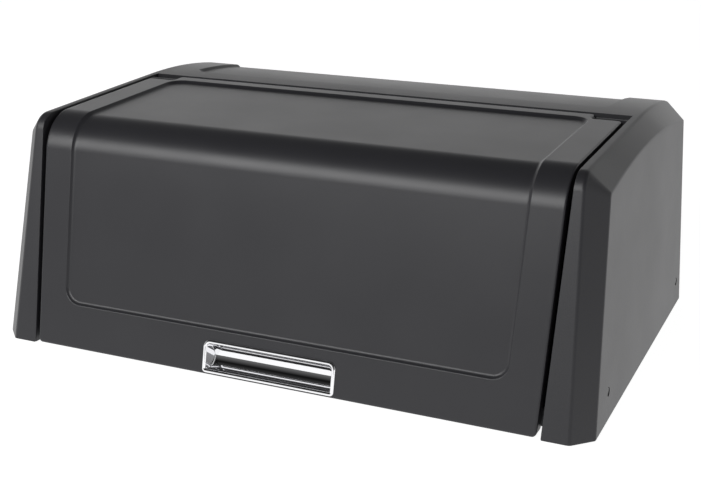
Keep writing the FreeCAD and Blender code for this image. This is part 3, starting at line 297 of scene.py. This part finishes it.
def deck_slab(half, front, back, flare, rise, depth):
    """A slab that follows the deck, with its sides flaring up and out by (outward, up) steps."""
    slab = begin("deck_slab")
    plan = rounded([(-half, front, 9), (half, front, 9), (half, back, 0), (-half, back, 0)])
    trace([at(x, y, -depth) for x, y in plan], closed=True)
    bpy.ops.mesh.edge_face_add()
    foot, spread = 0, 0
    for outward, up in flare + [(flare[-1][0], rise + depth)]:
        pick(slab, "FACE", lambda x, y, z: near(z, foot - depth, 0.001))
        bpy.ops.mesh.extrude_region_move(TRANSFORM_OT_translate={"value": (0, 0, (up - foot) * MM)})
        widen = (half + outward) / (half + spread)
        deepen = (back - front + outward) / (back - front + spread)
        bpy.ops.transform.resize(value=(widen, deepen, 1), center_override=at(0, back, 0))
        foot, spread = up, outward
    for step in range(1, 16):
        line = front - 6 + step * (back - front + 6) / 16
        bpy.ops.mesh.select_all(action="SELECT")
        bpy.ops.mesh.bisect(plane_co=at(0, line, 0), plane_no=(0, 1, 0))
    bpy.ops.mesh.select_all(action="SELECT")
    bpy.ops.mesh.normals_make_consistent(inside=False)
    close(slab)
    for vertex in slab.data.vertices:
        y = min(max(vertex.co.y / MM, PEAK_Y), BACK + 6)
        vertex.co.z += ridge_top(y) * MM
    return slab


def soft_wall(depth, convex, concave, slope, steps=3):
    """(outward, up) steps of a sunk field's wall, from the foot of its hollow to the surface."""
    path = []
    for step in range(1, steps + 1):
        turn = slope * step / steps
        path.append((concave * sin(turn), concave * (1 - cos(turn))))
    across, height = path[-1]
    rest = depth - height - convex * (1 - cos(slope))
    across, height = across + rest / tan(slope), height + rest
    path.append((across, height))
    for step in range(1, steps + 1):
        turn = slope * (1 - step / steps)
        path.append((across + convex * (sin(slope) - sin(turn)), height + convex * (cos(turn) - cos(slope))))
    return path


field_wall = soft_wall(FIELD_SINK, 1.6, 1.8, radians(48))
pad = deck_slab(FIELD_HALF + 4, FIELD_FRONT - 4, BACK - 1, [(0.1, 0.5)], -1.2, FIELD_SINK + WALL)
combine(shell, pad, "UNION")
combine(shell, deck_slab(FIELD_HALF, FIELD_FRONT, BACK + 4, field_wall, 4, FIELD_SINK))
combine(shell, block((-187.5, DECK_FRONT, 140), (187.5, DECK_FRONT + WALL, 154.6)), "UNION")
for hand in (-1, 1):
    start, end = sorted((hand * KNUCKLE_START, hand * KNUCKLE_END))
    web = block((start, HINGE_Y, HINGE_Z - KNUCKLE_RADIUS), (end, DECK_FRONT + 1, HINGE_Z))
    knuckle = rod(((start + end) / 2, HINGE_Y, HINGE_Z), KNUCKLE_RADIUS, end - start, rounding=0.4)
    combine(web, knuckle, "UNION")
    combine(shell, web, "UNION")
slot = block((-57.5, BACK - 6, 100), (-54.5, BACK + 6, 122), rounding=1.2)
modify(slot, "ARRAY", count=9, use_relative_offset=False, use_constant_offset=True,
       constant_offset_displace=(14 * MM, 0, 0))
combine(shell, slot)
for hand in (-1, 1):
    for y in (-90.4, 117):
        depth = SIDE_HALF - SIDE_SLOPE * 18.6 - 1.4
        combine(shell, rod((hand * (depth + 5), y, 18.6), 2.9, 10))
RETURN_DEPTH, RETURN_INSET = 11, 1.2
for hand in (-1, 1):
    flange = begin("opening_return")
    outer = rounded([(FRONT + RETURN_INSET, 0, 0), (FOLD_Y + 1, FOLD_Z - RETURN_INSET, 12),
                     (PEAK_Y - 1, PEAK_Z - RETURN_INSET, 0)])
    inner = rounded([(FRONT + RETURN_DEPTH, 0, 0), (FOLD_Y + 9, FOLD_Z - RETURN_DEPTH, 5),
                     (PEAK_Y - 1, PEAK_Z - RETURN_DEPTH, 0)])
    ring = outer + inner[::-1]
    trace([at(hand * (OPENING_HALF + OPENING_SPREAD * z), y, z) for y, z in ring], closed=True)
    bpy.ops.mesh.edge_face_add()
    bpy.ops.mesh.extrude_region_move(TRANSFORM_OT_translate={"value": (hand * 2.2 * MM, 0, 0)})
    bpy.ops.mesh.select_all(action="SELECT")
    bpy.ops.mesh.normals_make_consistent(inside=False)
    combine(shell, flange, "UNION")
smooth(shell)


def hex_colour(code):
    """A linear colour from an sRGB hex code."""
    channels = [int(code[place:place + 2], 16) / 255 for place in (1, 3, 5)]
    return [c / 12.92 if c <= 0.04045 else ((c + 0.055) / 1.055) ** 2.4 for c in channels] + [1]


def add_node(tree, kind, inputs=None, **settings):
    """Adds a node, gives it its settings, and fills or links its sockets."""
    new = tree.nodes.new("ShaderNode" + kind)
    for name, value in settings.items():
        setattr(new, name, value)
    for name, value in (inputs or {}).items():
        if isinstance(value, bpy.types.NodeSocket):
            tree.links.new(value, new.inputs[name])
        else:
            new.inputs[name].default_value = value
    return new


def per_mm(size):
    """The scale of a pattern whose features are size millimetres wide."""
    return 1 / (size * MM)


def moulded(name, dark, light, roughness, grain, height, blotch=45, ior=1.46):
    """A moulded plastic: faint blotches in colour, a spark-eroded grain, and worn shine."""
    material = bpy.data.materials.new(name)
    material.use_nodes = True
    tree = material.node_tree
    shader = tree.nodes["Principled BSDF"]
    place = add_node(tree, "TexCoord").outputs["Object"]
    cloud = add_node(tree, "TexNoise", {"Vector": place, "Scale": per_mm(blotch), "Detail": 3.0})
    colour = add_node(tree, "MixRGB", {"Fac": cloud.outputs["Fac"], "Color1": hex_colour(dark),
                                       "Color2": hex_colour(light)})
    fine = add_node(tree, "TexNoise", {"Vector": place, "Scale": per_mm(grain), "Detail": 2.0,
                                       "Roughness": 0.6})
    cells = add_node(tree, "TexVoronoi", {"Vector": place, "Scale": per_mm(grain * 1.3)})
    relief = add_node(tree, "Math", {0: fine.outputs["Fac"], 1: cells.outputs["Distance"]},
                      operation="ADD")
    bump = add_node(tree, "Bump", {"Height": relief.outputs[0], "Distance": height * MM,
                                   "Strength": 1.0})
    gloss = add_node(tree, "MapRange", {"Value": cloud.outputs["Fac"], "From Min": 0.3,
                                        "From Max": 0.7, "To Min": roughness - 0.015,
                                        "To Max": roughness + 0.015})
    tree.links.new(colour.outputs[0], shader.inputs["Base Color"])
    tree.links.new(gloss.outputs[0], shader.inputs["Roughness"])
    tree.links.new(bump.outputs[0], shader.inputs["Normal"])
    shader.inputs["IOR"].default_value = ior
    return material


def finish_piece(piece, material, body, slot, *nodes):
    """Gives a piece its material and its body and hides the CAD nodes it replaces; slot is not used."""
    piece.data.materials.clear()
    piece.data.materials.append(material)
    piece.data.name = piece.name
    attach(piece, body)
    if nodes:
        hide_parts(*nodes)


# Black ABS from a spark-eroded mould: a soft leathery grain that scatters the light.
shell_plastic = moulded("abs_black_spark_eroded", "#262629", "#28282b", 0.42, 0.9, 0.035)
finish_piece(shell, shell_plastic, "housing", "shell_plastic", "housing_shell")

# ---- Lid -------------------------------------------------------------------------------------
# One L-shaped moulding in black ABS with a smoother satin face. A border stands round its sunk
# field, its edges turn inwards, and two barrels at its rear corners turn on the hinge pins.
LEAN = radians(12.4)
FOLD_TURN, FOLD_RADIUS = radians(76.41), 28
STRAIGHT, TOP_RUN = 133.7, 117.4
FOLD_RUN = FOLD_TURN * FOLD_RADIUS
LID_RUN = STRAIGHT + FOLD_RUN + TOP_RUN
LID_LOW = 0.7
SKIN, FLANGE, EDGE_WALL = 2.7, 9, 2.3
LOW_HALF, FOLD_HALF, TOP_HALF = 177.4, 180.3, 180.8
NOTCH_HALF, NOTCH_RUN = 160, 12.1
BORDER, FIELD_LOW, FIELD_REAR, LID_SINK = 20.2, 29.5, 9.9, 1.8


def flat(across, along, depth=0):
    """A point on the unfolded lid, which stands upright with its fold line at height zero."""
    return Vector((across, depth, along - STRAIGHT)) * MM


lid = begin("bread_box_lid")
right_edge = [(LOW_HALF, 0, 3), (FOLD_HALF, STRAIGHT, 0), (TOP_HALF, STRAIGHT + FOLD_RUN, 0),
              (TOP_HALF, LID_RUN - NOTCH_RUN, 2.9), (NOTCH_HALF, LID_RUN - NOTCH_RUN, 2.5),
              (NOTCH_HALF, LID_RUN, 2.9)]
left_edge = [(-across, along, radius) for across, along, radius in reversed(right_edge)]
outline = rounded(right_edge + left_edge, 6)
trace([flat(*point) for point in outline], closed=True)
bpy.ops.mesh.edge_face_add()
bpy.ops.mesh.extrude_region_move(TRANSFORM_OT_translate={"value": (0, FLANGE * MM, 0)})
bpy.ops.mesh.inset(thickness=EDGE_WALL * MM)
bpy.ops.mesh.extrude_region_move(
    TRANSFORM_OT_translate={"value": (0, (LID_SINK + SKIN - FLANGE) * MM, 0)})
for depth in (FLANGE, LID_SINK + SKIN):
    pick(lid, "VERT", lambda x, y, z: near(y, depth) and z < -STRAIGHT + 3)
    bpy.ops.transform.translate(value=(0, 0, depth * tan(LEAN) * MM))
pick(lid, "FACE", lambda x, y, z: near(y, 0))
bpy.ops.mesh.inset(thickness=1.8 * MM)
bpy.ops.mesh.delete(type="ONLY_FACE")
field_edge = [(LOW_HALF + 0.6 - BORDER, FIELD_LOW, 12), (FOLD_HALF - BORDER, STRAIGHT, 0),
              (TOP_HALF - BORDER, LID_RUN - FIELD_REAR, 12)]
left_edge = [(-across, along, radius) for across, along, radius in reversed(field_edge)]
field_line = rounded(field_edge + left_edge, 10)
trace([flat(*point) for point in field_line], closed=True)


def on_outline(x, z):
    """Whether a point lies on the lid's outer edge."""
    return any(near(x, p.x, 0.02) and near(z, p.y - STRAIGHT, 0.02) for p in outline)


pick(lid, "VERT", lambda x, y, z: near(y, 0) and not on_outline(x, z + RIM))
bpy.ops.mesh.select_mode(type="EDGE")
bpy.ops.mesh.fill(use_beauty=True)


def inside_field(x, y, z):
    return any(near(x, p.x, 0.02) and near(z + RIM, p.y - STRAIGHT, 0.02) for p in field_line)


pick(lid, "VERT", inside_field)
bpy.ops.mesh.edge_face_add()
bpy.ops.mesh.select_all(action="SELECT")
bpy.ops.mesh.normals_make_consistent(inside=False)
pick(lid, "FACE", inside_field)
lid_wall = soft_wall(LID_SINK, 1.0, 3.0, radians(45), 4)
lid_wall = [(lid_wall[-1][0] - across, LID_SINK - up) for across, up in reversed([(0, 0)] + lid_wall)]
for (across, down), (next_across, next_down) in zip(lid_wall, lid_wall[1:]):
    bpy.ops.mesh.inset(thickness=(next_across - across) * MM, depth=-(next_down - down) * MM)
for step in range(0, 25):
    bpy.ops.mesh.select_all(action="SELECT")
    bpy.ops.mesh.bisect(plane_co=flat(0, STRAIGHT + FOLD_RUN * step / 24), plane_no=(0, 0, 1))
bpy.ops.mesh.select_mode(type="EDGE")
bpy.ops.mesh.select_all(action="DESELECT")
mesh = bmesh.from_edit_mesh(lid.data)
for edge in mesh.edges:
    level = all(near(vertex.co.y / MM, 0, 0.01) for vertex in edge.verts)
    if level and len(edge.link_faces) == 2 and edge.calc_face_angle() > radians(60):
        edge.select_set(True)
bmesh.update_edit_mesh(lid.data)
bpy.ops.mesh.bevel(offset=1.1 * MM, segments=3, affect="EDGES", clamp_overlap=False)
close(lid)
bottom, top = min(v.co.z for v in lid.data.vertices), max(v.co.z for v in lid.data.vertices)
modify(lid, "SIMPLE_DEFORM", deform_method="BEND", deform_axis="X", angle=FOLD_TURN,
       limits=(-bottom / (top - bottom), (FOLD_RUN * MM - bottom) / (top - bottom)))
lid.rotation_euler = (-LEAN, 0, 0)
lid_foot = at(0, FRONT + FRONT_SLOPE * LID_LOW, LID_LOW)
lid.location = lid_foot - Matrix.Rotation(-LEAN, 3, "X") @ flat(0, 0)
bpy.ops.object.transform_apply(location=True, rotation=True, scale=True)
for hand in (-1, 1):
    start, end = sorted((hand * 140, hand * 160))
    barrel = rod(((start + end) / 2, HINGE_Y, HINGE_Z), 4.9, end - start, rounding=0.4)
    combine(barrel, rod(((start + end) / 2, HINGE_Y, HINGE_Z), 3.6, end - start + 2))
    combine(lid, barrel, "UNION")

# ---- Finger cup ------------------------------------------------------------------------------
# A shallow trough in bright chromed zinc set in the lid near its lower edge. A rolled bead round
# its mouth laps over the lid, and a steel strap clamps it from inside.
CUP_HALF, CUP_LOW, CUP_HIGH = 47.2, 1.9, 23.4
BEAD, BEAD_PROUD, CUP_DEPTH = 2.6, 1.0, 7.5
CUP_MIDDLE = (CUP_LOW + CUP_HIGH) / 2
CUP_TALL = (CUP_HIGH - CUP_LOW) / 2 / cos(LEAN)


def stand_up(piece):
    """Leans a piece back against the front, with its own zero at the cup's middle."""
    close(piece)
    piece.rotation_euler = (-LEAN, 0, 0)
    piece.location = at(0, FRONT + FRONT_SLOPE * CUP_MIDDLE, CUP_MIDDLE)
    bpy.ops.object.transform_apply(location=True, rotation=True, scale=True)


window = block((-44.9, -4, -8.1 - RIM), (44.9, 20, 8.1 - RIM), rounding=1)
stand_up(window)
combine(lid, window)
smooth(lid)
# Black ABS from a finely polished mould: smoother and a little cooler than the shell.
lid_plastic = moulded("abs_black_satin", "#27272a", "#28282b", 0.36, 0.7, 0.008)
finish_piece(lid, lid_plastic, "lid", "lid_plastic", "lid_panel")

cup = begin("finger_cup")
mouth = rounded([(CUP_HALF, -CUP_TALL, 2.6), (CUP_HALF, CUP_TALL, 5),
                 (-CUP_HALF, CUP_TALL, 5), (-CUP_HALF, -CUP_TALL, 2.6)], 6)
trace([Vector((across, 0, up)) * MM for across, up in mouth], closed=True)
bpy.ops.mesh.edge_face_add()
bpy.ops.mesh.select_mode(type="FACE")
bpy.ops.mesh.select_all(action="SELECT")
mesh = bmesh.from_edit_mesh(cup.data)
if mesh.faces[:][0].normal.y > 0:
    bpy.ops.mesh.flip_normals()
BEAD_STEPS = 10
for step in range(1, BEAD_STEPS + 1):
    was, now = pi * (step - 1) / BEAD_STEPS, pi * step / BEAD_STEPS
    bpy.ops.mesh.inset(thickness=BEAD / 2 * (cos(was) - cos(now)) * MM,
                       depth=BEAD_PROUD * (sin(now) - sin(was)) * MM)
TROUGH_STEPS = 16
for step in range(1, TROUGH_STEPS + 1):
    was, now = pi / 2 * (step - 1) / TROUGH_STEPS, pi / 2 * step / TROUGH_STEPS
    bpy.ops.mesh.extrude_region_move(
        TRANSFORM_OT_translate={"value": (0, CUP_DEPTH * (sin(now) - sin(was)) * MM, 0)})
    narrow = (1 - 0.05 * sin(now)) / (1 - 0.05 * sin(was))
    squeeze = max(cos(now), 0.002) / cos(was)
    bpy.ops.transform.resize(value=(narrow, 1, squeeze), center_override=(0, 0, 0))
modify(cup, "SOLIDIFY", thickness=0.7 * MM, offset=-1)
stand_up(cup)
smooth(cup, 40)


def polished(name, colour, roughness, brush=None):
    """A bare or plated metal with faint smears, or with brush lines along X."""
    material = bpy.data.materials.new(name)
    material.use_nodes = True
    tree = material.node_tree
    shader = tree.nodes["Principled BSDF"]
    place = add_node(tree, "TexCoord").outputs["Object"]
    if brush:
        place = add_node(tree, "Mapping", {"Vector": place, "Scale": (0.05, 1, 1)}).outputs[0]
    smear = add_node(tree, "TexNoise", {"Vector": place, "Scale": per_mm(brush or 14), "Detail": 4.0})
    gloss = add_node(tree, "MapRange", {"Value": smear.outputs["Fac"], "From Min": 0.3,
                                        "From Max": 0.7, "To Min": roughness * 0.7,
                                        "To Max": roughness * 1.3})
    bump = add_node(tree, "Bump", {"Height": smear.outputs["Fac"], "Distance": 0.002 * MM})
    shader.inputs["Base Color"].default_value = hex_colour(colour)
    shader.inputs["Metallic"].default_value = 1
    tree.links.new(gloss.outputs[0], shader.inputs["Roughness"])
    tree.links.new(bump.outputs[0], shader.inputs["Normal"])
    return material


# Bright chromium plate over polished zinc: a clear mirror with the faintest smears.
chrome = polished("chrome_plate_bright", "#f2f2f4", 0.06)
finish_piece(cup, chrome, "lid", "bright_chrome", "handle_cup")

# ---- Inside and fixings ----------------------------------------------------------------------
# The floor tray and side liners are matt grey-black mouldings, screwed in with zinc-plated
# screws. Steel pins turn in nylon bushes, and rubber studs and feet take the knocks.
inner_plastic = moulded("polypropylene_charcoal_matt", "#39393b", "#3f3f41", 0.55, 1.2, 0.02)
rubber = moulded("rubber_black_matt", "#202021", "#2a2a2b", 0.75, 0.8, 0.03)
nylon = moulded("nylon_black", "#1c1c1d", "#222223", 0.45, 1.0, 0.006, ior=1.53)
zinc = polished("zinc_plate_on_steel", "#c4c6c9", 0.3, brush=0.4)
black_oxide = polished("steel_black_oxide", "#2c2c2e", 0.35)
finishes = {"inner_plastic": inner_plastic, "rubber": rubber, "nylon": nylon,
            "plain_steel": zinc, "black_screw": black_oxide,
            "shell_plastic": shell_plastic, "lid_plastic": lid_plastic, "bright_chrome": chrome}
for subpart in frame["record"]["subparts"]:
    node = frame["nodes"][subpart["node"]]
    node.data.materials.clear()
    node.data.materials.append(finishes[subpart["material_slot"]])

# ---- Floor, light and camera -----------------------------------------------------------------
# A white floor that glows like a lamp, its glow painted dimmer far in front and off to the right as painted shade;
# a soft light high in front, and a dim ceiling.
leave()
bpy.ops.mesh.primitive_plane_add(size=24)
floor = bpy.context.object
floor.name = "floor"
white = bpy.data.materials.new("white_floor_painted_glow")
white.use_nodes = True
tree = white.node_tree
shader = tree.nodes["Principled BSDF"]
place = add_node(tree, "SeparateXYZ", {0: add_node(tree, "TexCoord").outputs["Object"]})
# Painted shade: the floor's glow is painted dimmer far in front of the box and further off to its right.
glow = add_node(tree, "MapRange", {"Value": place.outputs["Y"], "From Min": -2.0, "From Max": -0.8,
                                   "To Min": 0.25, "To Max": 0.96})
right = add_node(tree, "MapRange", {"Value": place.outputs["X"], "From Min": 0.45, "From Max": 1.1,
                                    "To Min": 1.0, "To Max": 0.62})
glow = add_node(tree, "Math", {0: glow.outputs[0], 1: right.outputs[0]}, operation="MULTIPLY")
shader.inputs["Base Color"].default_value = hex_colour("#8c8c8c")
shader.inputs["Roughness"].default_value = 0.9
shader.inputs["Specular IOR Level"].default_value = 0
shader.inputs["Emission Color"].default_value = hex_colour("#ffffff")
tree.links.new(glow.outputs[0], shader.inputs["Emission Strength"])
floor.data.materials.append(white)

world = bpy.data.worlds.new("studio")
bpy.context.scene.world = world
world.use_nodes = True
tree = world.node_tree
way = add_node(tree, "SeparateXYZ", {0: add_node(tree, "TexCoord").outputs["Generated"]})
height = add_node(tree, "MapRange", {"Value": way.outputs["Z"], "From Min": 0.02, "From Max": 0.6,
                                     "To Min": 1.45, "To Max": 0.08})
ahead = add_node(tree, "MapRange", {"Value": way.outputs["Y"], "From Min": -0.6, "From Max": 0.2,
                                    "To Min": 0.1, "To Max": 1.0})
tree.nodes["Background"].inputs["Color"].default_value = hex_colour("#ffffff")
radiance = add_node(tree, "Math", {0: height.outputs[0], 1: ahead.outputs[0]}, operation="MULTIPLY")
tree.links.new(radiance.outputs[0], tree.nodes["Background"].inputs["Strength"])


def softbox(name, place, aim, width, height, power):
    """A rectangular soft light at place that shines at aim, both in metres."""
    data = bpy.data.lights.new(name, "AREA")
    data.shape = "RECTANGLE"
    data.size, data.size_y, data.energy = width, height, power
    lamp = bpy.data.objects.new(name, data)
    bpy.context.scene.collection.objects.link(lamp)
    lamp.location = place
    lamp.rotation_euler = (Vector(aim) - Vector(place)).to_track_quat("-Z", "Y").to_euler()
    return lamp


key = softbox("front_softbox", (-0.35, -1.2, 0.74), (0, -0.1, 0.1), 1.6, 0.5, 17)
others = bpy.data.collections.new("not_lit_by_front_softbox")
others.objects.link(cup)
key.light_linking.receiver_collection = others
others.collection_objects[0].light_linking.link_state = "EXCLUDE"

camera_data = bpy.data.cameras.new("camera")
camera_data.lens, camera_data.sensor_width = 65.48, 36
camera = bpy.data.objects.new("camera", camera_data)
bpy.context.scene.collection.objects.link(camera)
AZIMUTH, ELEVATION, ROLL = radians(24.47), radians(18.81), radians(-0.19)
camera.location = at(355.8, -783.5, 344.6)
turn = Matrix.Rotation(AZIMUTH, 4, "Z") @ Matrix.Rotation(pi / 2 - ELEVATION, 4, "X")
camera.rotation_euler = (turn @ Matrix.Rotation(ROLL, 4, "Z")).to_euler()
bpy.context.scene.camera = camera
bpy.context.scene.view_settings.view_transform = "Standard"
